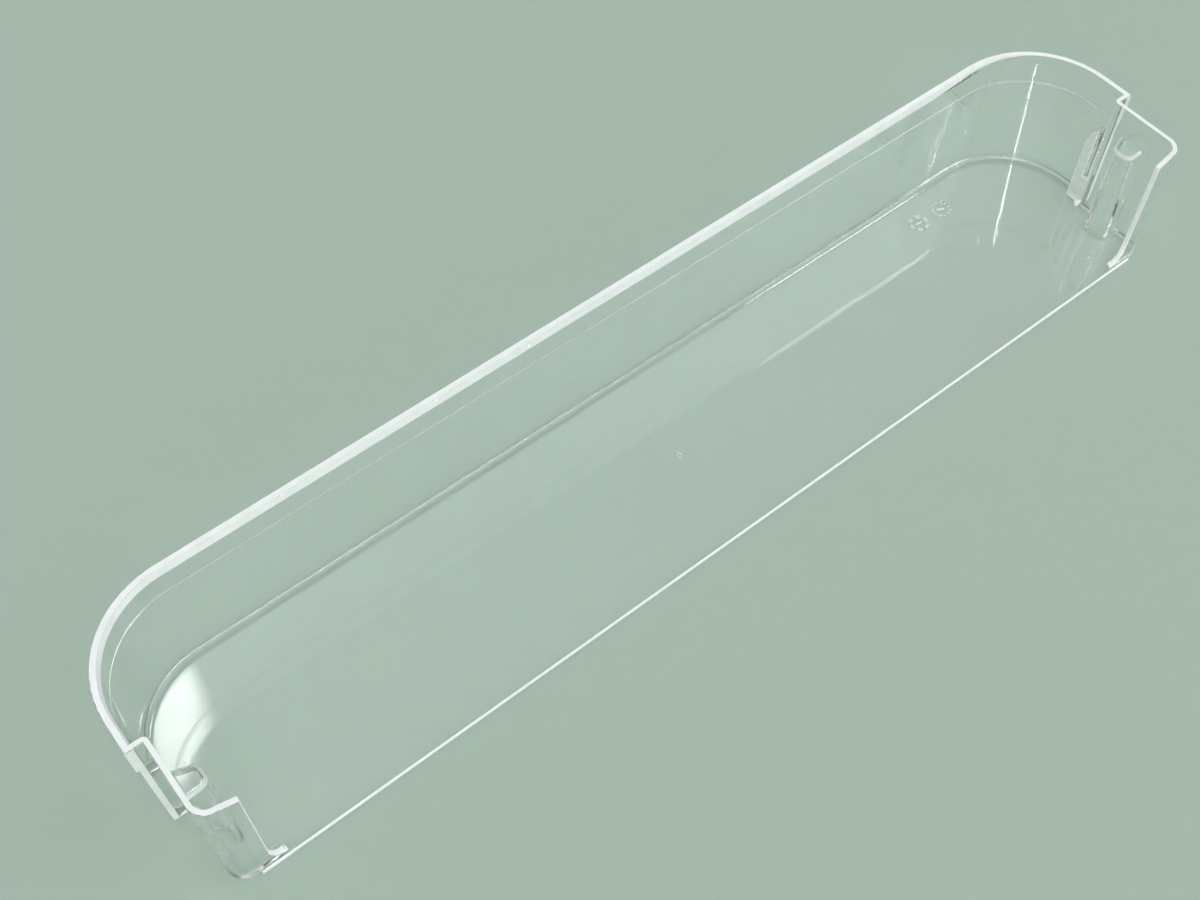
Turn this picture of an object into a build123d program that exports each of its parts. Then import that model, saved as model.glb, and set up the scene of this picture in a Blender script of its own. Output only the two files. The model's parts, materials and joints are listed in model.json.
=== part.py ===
from build123d import *
import os
from math import atan2, degrees

# Overall sizes. X runs along the length, the long front wall faces -Y and the open side faces +Y.
overall_length = 450.0
overall_depth = 85.5
overall_height = 60.0
wall = 2.0
floor_thickness = 2.0

# Plan of the walls: round front corners, then a step inwards in each end wall
front_corner_radius = 38.5
end_step = 6.2
step_from_rear = 33.4
rear_corner_radius = 7.0

# Thickened band and bevel round the top of the front part
band_height = 14.6
band_proud = 1.0
band_edge_radius = 0.6
bevel_height = 3.3
bevel_depth = 0.7

# Stub walls on the open side, and the lip of the floor between them
return_length = 13.8
return_drop = 3.0
return_fillet = 8.0
return_edge_radius = 0.6
lip_from_end = 15.0
lip_proud = 1.0
lip_edge_radius = 0.5

# Rounded edges
floor_fillet = 2.5
underside_fillet = 1.5
rim_edge_radius = 0.4

# Pocket in each end that drops over a lug of the door, its rear flank leaning out towards the floor
pocket_from_rear = 17.7
pocket_depth = 8.6
pocket_width = 4.9
pocket_flare = 3.0
pocket_wall = 1.8
pocket_below_rim = 12.7
pocket_lean = 2.2
pocket_corner_radius = 2.0
pocket_cap_radius = 1.6

# Upright rib behind each step, rounded over at its top, and the foot that joins it to the step
rib_gap = 1.5
rib_thickness = 4.3
rib_below_rim = 18.5
rib_round_height = 12.0
rib_foot_height = 16.4
rib_edge_radius = 0.4

# Round marks that moulding leaves on the floor
gate_diameter = 4.6
gate_nub_diameter = 2.6
gate_hole_diameter = 1.2
gate_depth = 0.4
dial_from_front = 17.1
dial_from_end = 57.0
dial_spacing = 13.0
dial_count = 2
dial_diameter = 9.4
dial_depth = 0.2

# How far joined volumes overlap, and how far a cut runs past the face it opens
overlap = 1.0
overrun = 1.0

# Faces that the rest is placed from
rear_y = overall_depth / 2
front_y = -overall_depth / 2
back_y = rear_y - lip_proud
step_y = rear_y - step_from_rear
front_inner_y = front_y + band_proud + wall
half_rim = overall_length / 2
half_front = half_rim - band_proud
half_rear = half_rim - end_step
half_opening = half_rear - return_length
base_z = floor_thickness - overlap
pocket_top_z = overall_height - pocket_below_rim


def stepped_plan(inset):
    """Plan of the walls, moved in from their outer face by inset."""
    x_front = half_front - inset
    x_rear = half_rear - inset
    y_front = front_y + band_proud + inset
    y_step = step_y - inset
    y_back = back_y - inset
    outline = Polyline(
        (-x_front, y_front),
        (x_front, y_front),
        (x_front, y_step),
        (x_rear, y_step),
        (x_rear, y_back),
        (-x_rear, y_back),
        (-x_rear, y_step),
        (-x_front, y_step),
        close=True,
    )
    plan = Sketch() + make_face(outline)
    if inset:
        plan = fillet(plan.vertices().group_by(Axis.Y)[1].sort_by(Axis.X)[1:3], inset)
    plan = fillet(plan.vertices().group_by(Axis.Y)[0], front_corner_radius - band_proud - inset)
    return fillet(plan.vertices().group_by(Axis.Y)[-1], rear_corner_radius - inset)


def front_plan(half_width, y_front, y_back, radius):
    """Plan of the front part alone: a rectangle with its two front corners rounded."""
    outline = Polyline(
        (-half_width, y_front),
        (half_width, y_front),
        (half_width, y_back),
        (-half_width, y_back),
        close=True,
    )
    plan = Sketch() + make_face(outline)
    return fillet(plan.vertices().group_by(Axis.Y)[0], radius)


def both_ends(solid):
    """The solid at the +X end with its mirror image at the -X end."""
    return [solid, mirror(solid, about=Plane.YZ)]


def hull():
    """The whole outside, filled, with its lower edge rounded and the band round its top."""
    block = extrude(stepped_plan(0), overall_height)
    block = fillet(block.edges().group_by(Axis.Z)[0], underside_fillet)
    band = extrude(front_plan(half_rim, front_y, step_y, front_corner_radius), band_height)
    lower_edges = band.edges().group_by(Axis.Z)[0].sort_by(Axis.Y)[:-1]
    band = fillet(lower_edges, band_edge_radius)
    block = block + Pos(Z=overall_height - band_height) * band
    return fillet(block.edges().group_by(Axis.Z)[-1], rim_edge_radius)


def cavity():
    """The inside of the tray, with the round where the walls meet the floor."""
    space = extrude(stepped_plan(wall), overall_height)
    space = fillet(space.edges().group_by(Axis.Z)[0], floor_fillet)
    return Pos(Z=floor_thickness) * space


def rim_bevel():
    """The wedge taken off the inside of the rim of the front part, widest at the top."""
    plan = front_plan(
        half_front - wall,
        front_inner_y,
        step_y - wall - bevel_depth,
        front_corner_radius - band_proud - wall,
    )
    slope = degrees(atan2(bevel_depth, bevel_height))
    return Pos(Z=overall_height - bevel_height) * extrude(plan, bevel_height, taper=-slope)


def rear_opening():
    """The open side between the two stub walls, whose tops fall towards it."""
    z_drop = overall_height - return_drop
    z_over = overall_height + overrun
    x_slope = half_rear - rear_corner_radius
    outline = Polyline(
        (-half_opening, floor_thickness),
        (half_opening, floor_thickness),
        (half_opening, z_drop),
        (x_slope, overall_height),
        (x_slope, z_over),
        (-x_slope, z_over),
        (-x_slope, overall_height),
        (-half_opening, z_drop),
        close=True,
    )
    profile = Sketch() + make_face(outline)
    profile = fillet(profile.vertices().group_by(Axis.Y)[0], return_fillet)
    reach = lip_proud + overrun + wall + floor_fillet
    return Pos(Y=rear_y + overrun) * (Plane.XZ * extrude(profile, reach))


def round_returns(solid):
    """The solid with the outer edge of its stub walls rounded, down to the floor and along it."""
    uprights = solid.edges().filter_by(Axis.Z).filter_by_position(Axis.X, -half_opening, half_opening)
    return fillet(uprights.group_by(Axis.Y)[-1], return_edge_radius)


def rear_lip():
    """The edge of the floor that stands proud between the stub walls, rounded along its length."""
    width = lip_proud + underside_fillet + overlap
    lip = Box(
        2 * (half_rim - lip_from_end),
        width,
        floor_thickness,
        align=(Align.CENTER, Align.MAX, Align.MIN),
    )
    rear_edges = lip.edges().filter_by(Axis.X).group_by(Axis.Y)[-1]
    return Pos(Y=rear_y) * fillet(rear_edges, lip_edge_radius)


def pocket_plan(grow, x_mouth, z):
    """Plan at height z of the lug pocket at the +X end, grown by grow and open towards x_mouth."""
    x_end = half_rear - pocket_depth - grow
    y_rear = rear_y - pocket_from_rear + grow + pocket_lean * (1 - z / pocket_top_z)
    y_front = rear_y - pocket_from_rear - pocket_width - grow
    y_mouth = y_front - pocket_flare * (x_mouth - x_end) / pocket_depth
    outline = Polyline(
        (x_mouth, y_rear),
        (x_end, y_rear),
        (x_end, y_front),
        (x_mouth, y_mouth),
        close=True,
    )
    plan = Sketch() + make_face(outline)
    return Pos(Z=z) * fillet(plan.vertices().group_by(Axis.X)[0], pocket_corner_radius + grow)


def pocket_block(grow, x_mouth, z_low, z_high):
    """The lug pocket's plan carried up from z_low to z_high, with its rear flank leaning forwards."""
    return loft([pocket_plan(grow, x_mouth, z) for z in (z_low, z_high)], ruled=True)


def pocket_boss():
    """The closed box that the lug pocket makes on the inside of the end wall."""
    boss = pocket_block(pocket_wall, half_rear - overlap, base_z, pocket_top_z)
    return fillet(boss.edges().group_by(Axis.Z)[-1], pocket_cap_radius)


def pocket_space():
    """The hollow of the lug pocket, open outwards and downwards."""
    return pocket_block(0, half_rear + overrun, -overrun, pocket_top_z - pocket_wall)


def corner_rib():
    """The upright rib on the end wall, rounded over at its top, and its foot at the step, with soft edges."""
    x_inner = half_rear - wall
    x_outer = half_front - overlap
    y_rear = step_y - wall - rib_gap
    y_front = y_rear - rib_thickness
    z_top = overall_height - rib_below_rim
    z_round = z_top - rib_round_height
    side = [
        Line((y_rear, base_z), (y_rear, z_top)),
        EllipticalCenterArc((y_rear, z_round), rib_thickness, rib_round_height, 90, arc_size=90),
        Line((y_front, z_round), (y_front, base_z)),
        Line((y_front, base_z), (y_rear, base_z)),
    ]
    blade = extrude(Plane.YZ * make_face(side), x_outer - x_inner)
    foot = Pos(0, y_rear, base_z) * Box(
        x_outer - x_inner,
        rib_gap + wall,
        rib_foot_height - base_z,
        align=(Align.MIN, Align.MIN, Align.MIN),
    )
    rib = blade + foot
    inner_edges = rib.faces().sort_by(Axis.X)[0].edges()
    free_edges = inner_edges.sort_by(Axis.Z)[1:].sort_by(Axis.Y)[:-1]
    return Pos(X=x_inner) * fillet(free_edges, rib_edge_radius)


def gate_mark():
    """The recess that the moulding gate leaves under the middle of the floor, round a nub with a hole."""
    ring = Circle(gate_diameter / 2) - Circle(gate_nub_diameter / 2) + Circle(gate_hole_diameter / 2)
    return Pos(Y=(rear_y + front_inner_y) / 2) * extrude(ring, gate_depth)


def dial_marks():
    """The round recesses of the date inserts in the top of the floor."""
    recess = Cylinder(dial_diameter / 2, dial_depth, align=(Align.CENTER, Align.CENTER, Align.MAX))
    return [
        Pos(dial_from_end + k * dial_spacing - half_rim, front_y + dial_from_front, floor_thickness) * recess
        for k in range(dial_count)
    ]


shelf = round_returns(hull() - cavity() - rim_bevel() - rear_opening())
shelf = shelf + rear_lip() + both_ends(corner_rib()) + both_ends(pocket_boss())
shelf = shelf - both_ends(pocket_space()) - gate_mark() - dial_marks()

os.makedirs("parts", exist_ok=True)
export_step(shelf, "parts/door_shelf.step")
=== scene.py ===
import bpy
import json
from math import cos, hypot, pi, radians, sin
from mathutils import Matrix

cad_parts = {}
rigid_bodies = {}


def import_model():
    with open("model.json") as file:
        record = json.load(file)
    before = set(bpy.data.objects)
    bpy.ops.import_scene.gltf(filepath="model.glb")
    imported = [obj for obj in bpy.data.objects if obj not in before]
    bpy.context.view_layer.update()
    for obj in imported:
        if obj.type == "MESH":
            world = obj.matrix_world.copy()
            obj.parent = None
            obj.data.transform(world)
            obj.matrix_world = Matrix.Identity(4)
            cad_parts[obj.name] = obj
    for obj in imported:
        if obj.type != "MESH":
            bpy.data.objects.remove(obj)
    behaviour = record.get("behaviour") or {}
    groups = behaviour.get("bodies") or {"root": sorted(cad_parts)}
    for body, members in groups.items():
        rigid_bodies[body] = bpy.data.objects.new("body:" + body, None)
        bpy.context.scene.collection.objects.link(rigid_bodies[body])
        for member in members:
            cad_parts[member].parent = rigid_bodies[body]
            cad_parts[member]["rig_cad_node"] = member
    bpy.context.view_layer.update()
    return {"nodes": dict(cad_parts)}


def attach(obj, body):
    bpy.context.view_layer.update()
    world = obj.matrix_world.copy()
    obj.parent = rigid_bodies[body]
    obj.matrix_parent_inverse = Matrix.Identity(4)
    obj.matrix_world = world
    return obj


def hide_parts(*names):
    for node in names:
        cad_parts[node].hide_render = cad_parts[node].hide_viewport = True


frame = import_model()
scene = bpy.context.scene
scene.view_settings.view_transform = "Standard"
mm = 0.001
print("frame loaded:", ", ".join(sorted(frame["nodes"])))

# light that runs along inside the clear walls is followed until it leaves them
lightPaths = {"total": 64, "glossy": 48, "through": 48, "brightest": 60}
scene.cycles.max_bounces = lightPaths["total"]
scene.cycles.glossy_bounces = lightPaths["glossy"]
scene.cycles.transmission_bounces = lightPaths["through"]
scene.cycles.blur_glossy = 0  # or the ground under the clear floor goes dark
scene.cycles.sample_clamp_indirect = lightPaths["brightest"]


def deselectAll():
    if bpy.context.object and bpy.context.object.mode != "OBJECT":
        bpy.ops.object.mode_set(mode="OBJECT")
    bpy.ops.object.select_all(action="DESELECT")


def makeActive(piece):
    deselectAll()
    piece.select_set(True)
    bpy.context.view_layer.objects.active = piece


def newMaterial(name):
    material = bpy.data.materials.new(name)
    material.use_nodes = True
    material.node_tree.nodes.clear()
    return material, material.node_tree


def node(tree, kind, spot):
    made = tree.nodes.new(kind)
    made.location = spot
    return made


# the plastic: polished and clear on the walls; whitish rough looks paint the highlights on its
# edges and the light piped along its walls, and the rib faces are hazy
polystyrene = {"ior": 1.59, "tintDetail": 1, "waveDetail": 2}
clearLook = {
    "name": "clearPlastic",
    "tints": [
        (0.3, (1.0, 0.985, 0.99, 1)),
        (0.5, (0.985, 1.0, 0.99, 1)),
        (0.7, (0.99, 0.995, 1.0, 1)),
    ],
    "tintSize": 0.05,
    "rough": (0.01, 0.035),
    "wave": 0.08,         # size of the slow waves in the moulded faces, m
    "waveHeight": 0.001,
    "clear": 1.0,
}
# whitish and rough: a painted highlight for the white light on the rims, lip, stub walls, rib
# edges, gate ring and date marks
highlightFrostLook = {
    "name": "frostedPaintedHighlight",
    "tints": [(0.35, (0.9, 0.915, 0.905, 1)), (0.65, (0.96, 0.965, 0.96, 1))],
    "tintSize": 0.006,
    "rough": (0.25, 0.4),
    "wave": 0.003,
    "waveHeight": 0.05,
    "clear": 0.25,
}
# whitish and rough: a painted sheen on the inner bevel and on the end walls' thickness seen on the
# step
bevelSheenLook = {
    "name": "paintedBevelSheen",
    "tints": [(0.35, (0.9, 0.92, 0.905, 1)), (0.65, (0.96, 0.97, 0.96, 1))],
    "tintSize": 0.006,
    "rough": (0.2, 0.3),
    "wave": 0.003,
    "waveHeight": 0.03,
    "clear": 0.3,
}
# whitish and hazy: the rib faces' own haze, and a painted highlight on the pocket caps' rounded
# tops
ribHazeCapHighlightLook = {
    "name": "hazyRibAndCapHighlight",
    "tints": [(0.35, (0.86, 0.89, 0.865, 1)), (0.65, (0.93, 0.95, 0.93, 1))],
    "tintSize": 0.005,
    "rough": (0.15, 0.25),
    "wave": 0.003,
    "waveHeight": 0.02,
    "clear": 0.65,
}


def plastic(look):
    material, tree = newMaterial(look["name"])
    link = tree.links.new
    coords = node(tree, "ShaderNodeTexCoord", (-1300, 0))
    cloud = node(tree, "ShaderNodeTexNoise", (-1000, 300))
    cloud.inputs["Scale"].default_value = 1 / look["tintSize"]
    cloud.inputs["Detail"].default_value = polystyrene["tintDetail"]
    tint = node(tree, "ShaderNodeValToRGB", (-700, 400))
    ramp = tint.color_ramp.elements
    while len(ramp) < len(look["tints"]):
        ramp.new(0.5)  # each stop gets its own place below
    for stop, (spot, colour) in zip(ramp, look["tints"]):
        stop.position = spot
        stop.color = colour
    wave = node(tree, "ShaderNodeTexNoise", (-1000, -100))
    wave.inputs["Scale"].default_value = 1 / look["wave"]
    wave.inputs["Detail"].default_value = polystyrene["waveDetail"]
    rough = node(tree, "ShaderNodeMapRange", (-700, 100))
    rough.inputs["To Min"].default_value, rough.inputs["To Max"].default_value = look["rough"]
    bump = node(tree, "ShaderNodeBump", (-700, -200))
    bump.inputs["Strength"].default_value = look["waveHeight"]
    bump.inputs["Distance"].default_value = mm
    shader = node(tree, "ShaderNodeBsdfPrincipled", (-300, 100))
    shader.inputs["IOR"].default_value = polystyrene["ior"]
    shader.inputs["Transmission Weight"].default_value = look["clear"]
    out = node(tree, "ShaderNodeOutputMaterial", (50, 100))
    link(coords.outputs["Object"], cloud.inputs["Vector"])
    link(coords.outputs["Object"], wave.inputs["Vector"])
    link(cloud.outputs["Fac"], tint.inputs["Fac"])
    link(tint.outputs["Color"], shader.inputs["Base Color"])
    link(wave.outputs["Fac"], rough.inputs["Value"])
    link(rough.outputs["Result"], shader.inputs["Roughness"])
    link(wave.outputs["Fac"], bump.inputs["Height"])
    link(bump.outputs["Normal"], shader.inputs["Normal"])
    link(shader.outputs["BSDF"], out.inputs["Surface"])
    return material


finishes = [plastic(look) for look in (clearLook, highlightFrostLook, bevelSheenLook, ribHazeCapHighlightLook)]
clear, paintedHighlight, paintedSheen, hazeAndCapHighlight = range(len(finishes))  # their places in the shell's list
print("plastic finishes made")

# the moulded shelf, sizes in mm
shelfBody = {
    "node": "door_shelf",
    "floorTop": 2.05,      # just above the floor
    "rimTop": 60.0,
    "rimFrom": 56.4,       # lowest point of the sloping rim tops
    "bevelFoot": 56.7,
    "taper": (-165.0, -214.0),   # where the bevel's painted sheen runs out, at its foot and its top
    "lipFrom": 42.2,       # rear edge of the floor
    "stubEdge": (39.7, 41.8),    # thickness of the stub walls
    "stubEnd": 205.7,
    "stepFace": 9.35,
    "endWall": 222.0,      # inner face of the end walls
    "ribFace": 216.8,
    "ribRound": 0.4,
    "ribFront": 1.5,
    "ribTop": 41.6,
    "pocketCap": (45.5, 47.25),  # rounded top edge of the lug pockets
    "gateMiddle": 1.5,
    "gateRing": (0.62, 2.4),     # from the hole in its nub to its outer edge
    "gateDepth": 0.45,
    "touch": 0.05,         # a face this near to a plane lies on it
    "weld": 0.001,
    "turned": {            # how much of a face's normal points that way
        "square": 0.9, "level": 0.95, "sloping": 0.85, "bevel": (0.1, 0.3), "stub": 0.3,
        "rib": 0.2, "ribFlat": 0.98, "cap": (0.15, 0.97), "upright": 0.5,
    },
}
turned = shelfBody["turned"]


def near(value, plane):
    return abs(value - shelfBody[plane]) < shelfBody["touch"]


def onBevel(place, facing):
    least, most = turned["bevel"]
    return place.z / mm > shelfBody["bevelFoot"] and least < facing.z < most


def onStep(place, facing):
    return near(place.y / mm, "stepFace") and facing.y > turned["square"]


def onRib(place, facing):
    return near(abs(place.x) / mm, "ribFace") and abs(facing.x) > turned["square"]


def overTaper(place):
    start, end = shelfBody["taper"]
    height = shelfBody["rimTop"] - shelfBody["bevelFoot"]
    rise = place.z / mm - shelfBody["bevelFoot"]
    return rise * (start - end) > height * (start - place.x / mm)


def onStub(x, y, z, inward):
    front, back = shelfBody["stubEdge"]
    inside = front < y < back and x < shelfBody["stubEnd"]
    return inside and z > shelfBody["floorTop"] and inward > turned["stub"]


def onRibEdge(x, y, z, inward):
    inside = shelfBody["ribFront"] < y < shelfBody["stepFace"]
    inside = inside and x < shelfBody["ribFace"] + shelfBody["ribRound"]
    return inside and shelfBody["floorTop"] < z < shelfBody["ribTop"] and inward > turned["rib"]


def onCap(z, facing):
    below, above = shelfBody["pocketCap"]
    least, most = turned["cap"]
    return below < z < above and least < facing.z < most


def onGate(x, y, z, facing):
    hole, outer = shelfBody["gateRing"]
    inside = hole < hypot(x, y - shelfBody["gateMiddle"]) < outer and z < shelfBody["gateDepth"]
    return inside and (abs(facing.z) < turned["upright"] or z < shelfBody["touch"])


# picks each face's look: clear, or whitish where highlights and piped light are painted in
def edgeFinish(place, facing):
    x, y, z = abs(place.x) / mm, place.y / mm, place.z / mm
    inward = -facing.x if place.x > 0 else facing.x
    sloping = y > shelfBody["stubEdge"][0] and facing.z > turned["sloping"]
    # rim tops and sloping stub tops: painted highlight, the white of light piped along the walls
    if z > shelfBody["rimFrom"] and (facing.z > turned["level"] or sloping):
        return paintedHighlight
    # inner bevel out to the taper: painted sheen
    if onBevel(place, facing) and overTaper(place):
        return paintedSheen
    # rear face of the lip and the stub walls: painted highlight
    if y > shelfBody["lipFrom"] or onStub(x, y, z, inward):
        return paintedHighlight
    # end-wall thickness on the step: painted sheen of the light piped through it
    if onStep(place, facing) and x > shelfBody["endWall"]:
        return paintedSheen
    # rib: its flat face hazy, its rounded edges a painted highlight
    if onRibEdge(x, y, z, inward):
        return hazeAndCapHighlight if inward > turned["ribFlat"] else paintedHighlight
    # rounded top of the lug pockets: painted highlight
    if onCap(z, facing):
        return hazeAndCapHighlight
    # gate ring round the nub: painted highlight; every other face stays clear
    return paintedHighlight if onGate(x, y, z, facing) else clear


def splitFaces(mesh, wanted, side, place, across):  # side 0 takes both ends
    for corner in mesh.vertices:
        corner.select = False
    for edge in mesh.edges:
        edge.select = False
    for face in mesh.polygons:
        face.select = wanted(face.center, face.normal) and face.center.x * side >= 0
    bpy.ops.object.mode_set(mode="EDIT")
    bpy.ops.mesh.bisect(plane_co=place, plane_no=across)
    bpy.ops.object.mode_set(mode="OBJECT")


def mouldShelf():
    source = frame["nodes"][shelfBody["node"]]
    piece = source.copy()
    piece.data = source.data.copy()
    del piece["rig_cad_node"]
    piece.name = "shelfShell"
    piece.parent = None
    scene.collection.objects.link(piece)
    makeActive(piece)
    mesh = piece.data
    bends = [list(corner.vector) for corner in mesh.corner_normals]  # put back below
    kept = mesh.attributes.new("bends", "FLOAT_VECTOR", "CORNER")
    kept.data.foreach_set("vector", [value for bend in bends for value in bend])
    bpy.ops.object.mode_set(mode="EDIT")
    bpy.ops.mesh.select_all(action="SELECT")
    bpy.ops.mesh.remove_doubles(threshold=shelfBody["weld"] * mm)
    bpy.ops.object.mode_set(mode="OBJECT")
    for side in (-1, 1):  # the end wall's thickness gets its own faces on the step, for its painted sheen
        splitFaces(mesh, onStep, side, (side * shelfBody["endWall"] * mm, 0, 0), (1, 0, 0))
        splitFaces(mesh, onRib, side, (0, shelfBody["stepFace"] * mm, 0), (0, 1, 0))
    # the bevel is cut where its painted sheen runs out
    start, end = shelfBody["taper"]
    rise, run = shelfBody["rimTop"] - shelfBody["bevelFoot"], start - end
    tilt = (rise / hypot(rise, run), 0, run / hypot(rise, run))  # bisect takes a unit vector only
    splitFaces(mesh, onBevel, 0, (start * mm, 0, shelfBody["bevelFoot"] * mm), tilt)
    mesh.normals_split_custom_set([list(item.vector) for item in mesh.attributes["bends"].data])
    mesh.attributes.remove(mesh.attributes["bends"])
    mesh.materials.clear()
    for finish in finishes:
        mesh.materials.append(finish)
    for face in mesh.polygons:
        face.material_index = edgeFinish(face.center, face.normal)
    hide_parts(shelfBody["node"])
    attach(piece, "root")
    whitened = sum(face.material_index != clear for face in mesh.polygons)
    print("shelf shell:", len(mesh.polygons), "faces,", whitened, "of them matt")


mouldShelf()

# raised numbers and pointers of the two date dials, sizes in mm and angles in degrees
dateDials = {
    "floor": 1.78,         # just under the bottom of the recess
    "rise": 0.16,
    "bold": 0.015,
    "spacing": 0.9,
    "curveSteps": 3,
    "dials": [
        {"name": "dialOne", "centre": (-155, -25.65), "ring": 3.5, "first": -64, "digit": 2.4,
         "pointer": 354, "marks": ["01", "02", "03", "04", "05", "06"]},
        {"name": "dialTwo", "centre": (-168, -25.65), "ring": 3.7, "first": -44, "digit": 1.9,
         "pointer": 155, "marks": [str(month) for month in range(1, 13)]},
    ],
    "pointerSize": (3.4, 0.4),
    "pointerHead": 1.7,    # its width beside the tail's
    "pointerEdge": 0.04,
    "edgeSteps": 2,
    "weld": 0.002,
}


def settle(piece, spot, turn):
    height = dateDials["floor"] + dateDials["rise"] / 2
    piece.location = (spot[0] * mm, spot[1] * mm, height * mm)
    piece.rotation_euler = (0, 0, radians(turn))
    bpy.ops.object.transform_apply(location=True, rotation=True, scale=True)
    return piece


def raiseNumber(words, size, spot, turn):
    deselectAll()
    bpy.ops.object.text_add(location=(0, 0, 0))
    letters = bpy.context.object.data
    letters.body = words
    letters.size = size * mm
    letters.space_character = dateDials["spacing"]
    letters.align_x = "CENTER"
    letters.align_y = "CENTER"
    letters.resolution_u = dateDials["curveSteps"]
    letters.offset = dateDials["bold"] * mm
    letters.extrude = dateDials["rise"] * mm / 2
    bpy.ops.object.convert(target="MESH")
    return settle(bpy.context.object, spot, turn)


def raisePointer(spot, turn):
    length, width = dateDials["pointerSize"]
    deselectAll()
    bpy.ops.mesh.primitive_cube_add(size=mm, location=(0, 0, 0))
    pointer = bpy.context.object
    pointer.scale = (length, width, dateDials["rise"])
    bpy.ops.object.transform_apply(location=True, rotation=True, scale=True)
    for corner in pointer.data.vertices:
        corner.select = False
    for face in pointer.data.polygons:
        face.select = face.normal.x > turned["square"]  # its head
    bpy.ops.object.mode_set(mode="EDIT")
    bpy.ops.transform.resize(value=(1, dateDials["pointerHead"], 1))
    bpy.ops.mesh.select_all(action="SELECT")
    bpy.ops.mesh.bevel(offset=dateDials["pointerEdge"] * mm, segments=dateDials["edgeSteps"])
    bpy.ops.object.mode_set(mode="OBJECT")
    return settle(pointer, spot, turn)


def markDial(dial):
    x, y = dial["centre"]
    made = [raisePointer((x, y), dial["pointer"])]
    for k, words in enumerate(dial["marks"]):
        angle = dial["first"] - k * 360 / len(dial["marks"])  # clockwise from above
        across, along = cos(radians(angle)), sin(radians(angle))
        spot = (x + dial["ring"] * across, y + dial["ring"] * along)
        made.append(raiseNumber(words, dial["digit"], spot, angle - 90))  # tops outwards
    deselectAll()
    for part in made:
        part.select_set(True)
    bpy.context.view_layer.objects.active = made[0]
    bpy.ops.object.join()
    marks = bpy.context.object
    marks.name = dial["name"]
    bpy.ops.object.mode_set(mode="EDIT")
    bpy.ops.mesh.select_all(action="SELECT")
    bpy.ops.mesh.remove_doubles(threshold=dateDials["weld"] * mm)
    bpy.ops.mesh.normals_make_consistent(inside=False)
    bpy.ops.object.mode_set(mode="OBJECT")
    marks.data.materials.clear()
    # the raised marks take the whitish look of the edges: a painted highlight
    marks.data.materials.append(finishes[paintedHighlight])
    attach(marks, "root")
    print("date dial:", dial["name"], len(marks.data.polygons), "faces")


for dial in dateDials["dials"]:
    markDial(dial)

# floor
floorLook = {"size": 6.0, "colour": (0.34, 0.43, 0.355, 1), "rough": 0.9, "below": 0.0002}


def layFloor():
    deselectAll()
    bpy.ops.mesh.primitive_plane_add(size=floorLook["size"], location=(0, 0, -floorLook["below"]))
    ground = bpy.context.object
    ground.name = "paleFloor"
    material, tree = newMaterial("paleFloor")
    shader = node(tree, "ShaderNodeBsdfPrincipled", (0, 0))
    shader.inputs["Base Color"].default_value = floorLook["colour"]
    shader.inputs["Roughness"].default_value = floorLook["rough"]
    out = node(tree, "ShaderNodeOutputMaterial", (300, 0))
    tree.links.new(shader.outputs["BSDF"], out.inputs["Surface"])
    ground.data.materials.append(material)
    print("floor laid")


layFloor()

# light: a soft room with a window and a glow in it, and two lamps that show in the polished faces
roomLight = {
    "colour": (0.97, 0.99, 1.0, 1),
    "near": (0.45, 1.5),   # how far towards +Y, and the brightness from there on
    "far": (0.15, 0.78),
    "spots": [             # edge: cosines of the angles where a spot begins and where it is full
        {"from": (0.0205, -0.4881, 0.8724), "edge": (0.99744, 0.99872), "level": 7,
         "colour": (1, 1, 1, 1)},
        {"from": (-0.62, 0.39, 0.68), "edge": (0.9, 1.0), "level": 0.9,
         "colour": (0.8, 0.95, 1.2, 1)},
    ],
}
ceilingLamps = [           # through: whether a lamp is also seen through the walls
    {"name": "ceilingStrip", "place": (-1.22, 0.0, 1.7), "size": (0.6, 0.4),
     "radiance": 18, "through": False},
    {"name": "ceilingTube", "place": (0.63, 0.97, 1.2), "size": (0.04, 0.8),
     "radiance": 60, "through": True},
]


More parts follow.
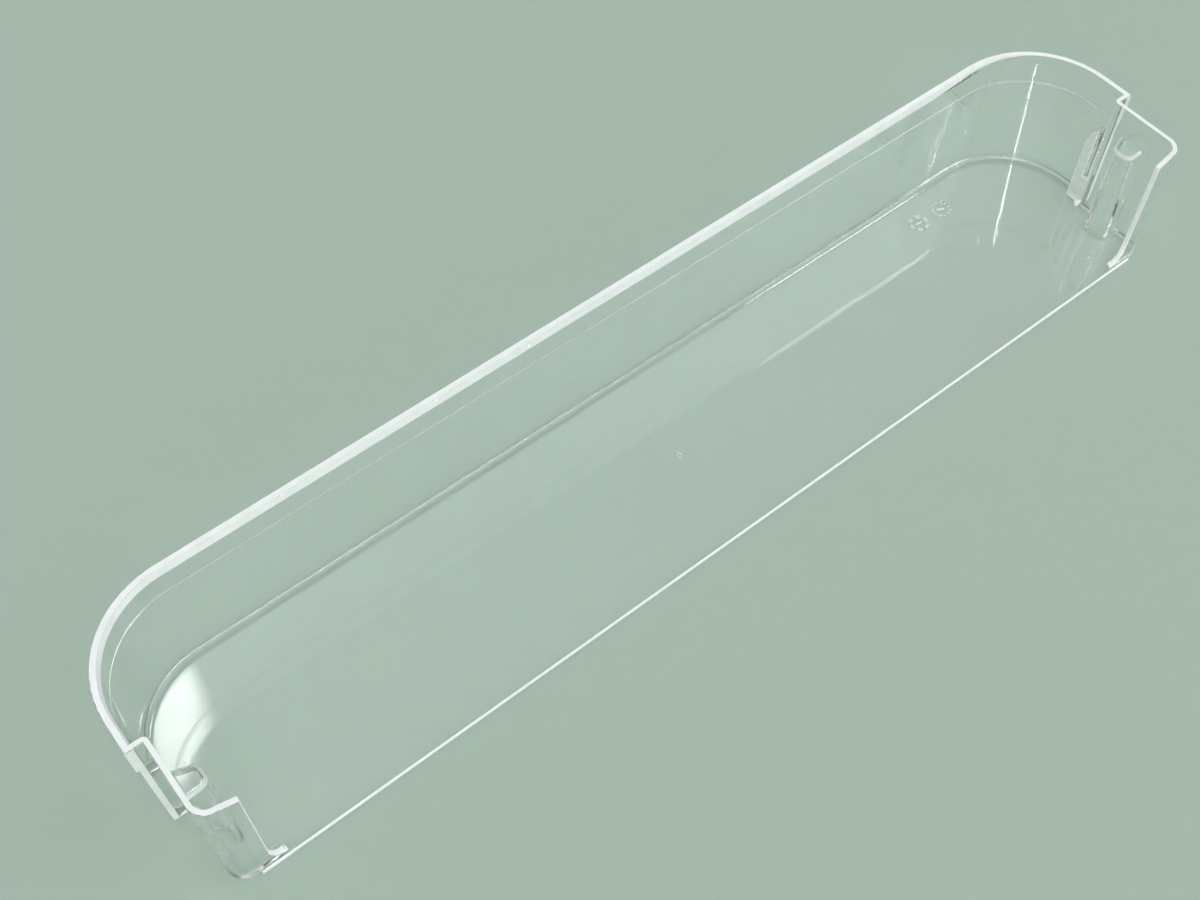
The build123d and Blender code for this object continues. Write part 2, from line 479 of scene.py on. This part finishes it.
def lightRoom():
    world = bpy.data.worlds.new("softRoom")
    scene.world = world
    world.use_nodes = True
    tree = world.node_tree
    backdrop = tree.nodes["Background"]
    backdrop.inputs["Color"].default_value = roomLight["colour"]
    link = tree.links.new
    coords = node(tree, "ShaderNodeTexCoord", (-900, 0))
    split = node(tree, "ShaderNodeSeparateXYZ", (-700, 0))
    level = node(tree, "ShaderNodeMapRange", (-500, 0))
    level.inputs["From Min"].default_value, level.inputs["To Min"].default_value = roomLight["far"]
    level.inputs["From Max"].default_value, level.inputs["To Max"].default_value = roomLight["near"]
    link(coords.outputs["Generated"], split.inputs["Vector"])
    link(split.outputs["Y"], level.inputs["Value"])
    link(level.outputs["Result"], backdrop.inputs["Strength"])
    lit = backdrop.outputs["Background"]
    for k, spot in enumerate(roomLight["spots"]):
        row = -300 * (k + 1)
        toward = node(tree, "ShaderNodeVectorMath", (-700, row))
        toward.operation = "DOT_PRODUCT"
        toward.inputs[1].default_value = spot["from"]
        fade = node(tree, "ShaderNodeMapRange", (-500, row))
        fade.interpolation_type = "SMOOTHSTEP"
        fade.inputs["From Min"].default_value, fade.inputs["From Max"].default_value = spot["edge"]
        fade.inputs["To Max"].default_value = spot["level"]
        glow = node(tree, "ShaderNodeBackground", (-300, row))
        glow.inputs["Color"].default_value = spot["colour"]
        both = node(tree, "ShaderNodeAddShader", (-100 + 150 * k, -150 * k))
        link(coords.outputs["Generated"], toward.inputs[0])
        link(toward.outputs["Value"], fade.inputs["Value"])
        link(fade.outputs["Result"], glow.inputs["Strength"])
        link(lit, both.inputs[0])
        link(glow.outputs["Background"], both.inputs[1])
        lit = both.outputs["Shader"]
    link(lit, tree.nodes["World Output"].inputs["Surface"])
    for panel in ceilingLamps:
        lamp = bpy.data.lights.new(panel["name"], "AREA")
        lamp.shape = "RECTANGLE"
        lamp.size, lamp.size_y = panel["size"]
        lamp.energy = panel["radiance"] * pi * lamp.size * lamp.size_y
        holder = bpy.data.objects.new(panel["name"], lamp)
        scene.collection.objects.link(holder)
        holder.location = panel["place"]
        holder.visible_diffuse = False
        holder.visible_transmission = panel["through"]
    print("room lit, lamps:", ", ".join(panel["name"] for panel in ceilingLamps))


lightRoom()

# camera, from the view fitted to the photo
viewpoint = {
    "place": (0.21667, 0.23138, 0.48348),
    "turn": (33.297, 0.21, 141.915),
    "lens": 45.02,
    "sensor": 36,
    "clipFrom": 0.01,
}


def setCamera():
    lens = bpy.data.cameras.new("photoView")
    lens.lens = viewpoint["lens"]
    lens.sensor_width = viewpoint["sensor"]
    lens.clip_start = viewpoint["clipFrom"]
    holder = bpy.data.objects.new("photoView", lens)
    scene.collection.objects.link(holder)
    holder.location = viewpoint["place"]
    holder.rotation_euler = [radians(angle) for angle in viewpoint["turn"]]
    scene.camera = holder
    print("camera set")


setCamera()
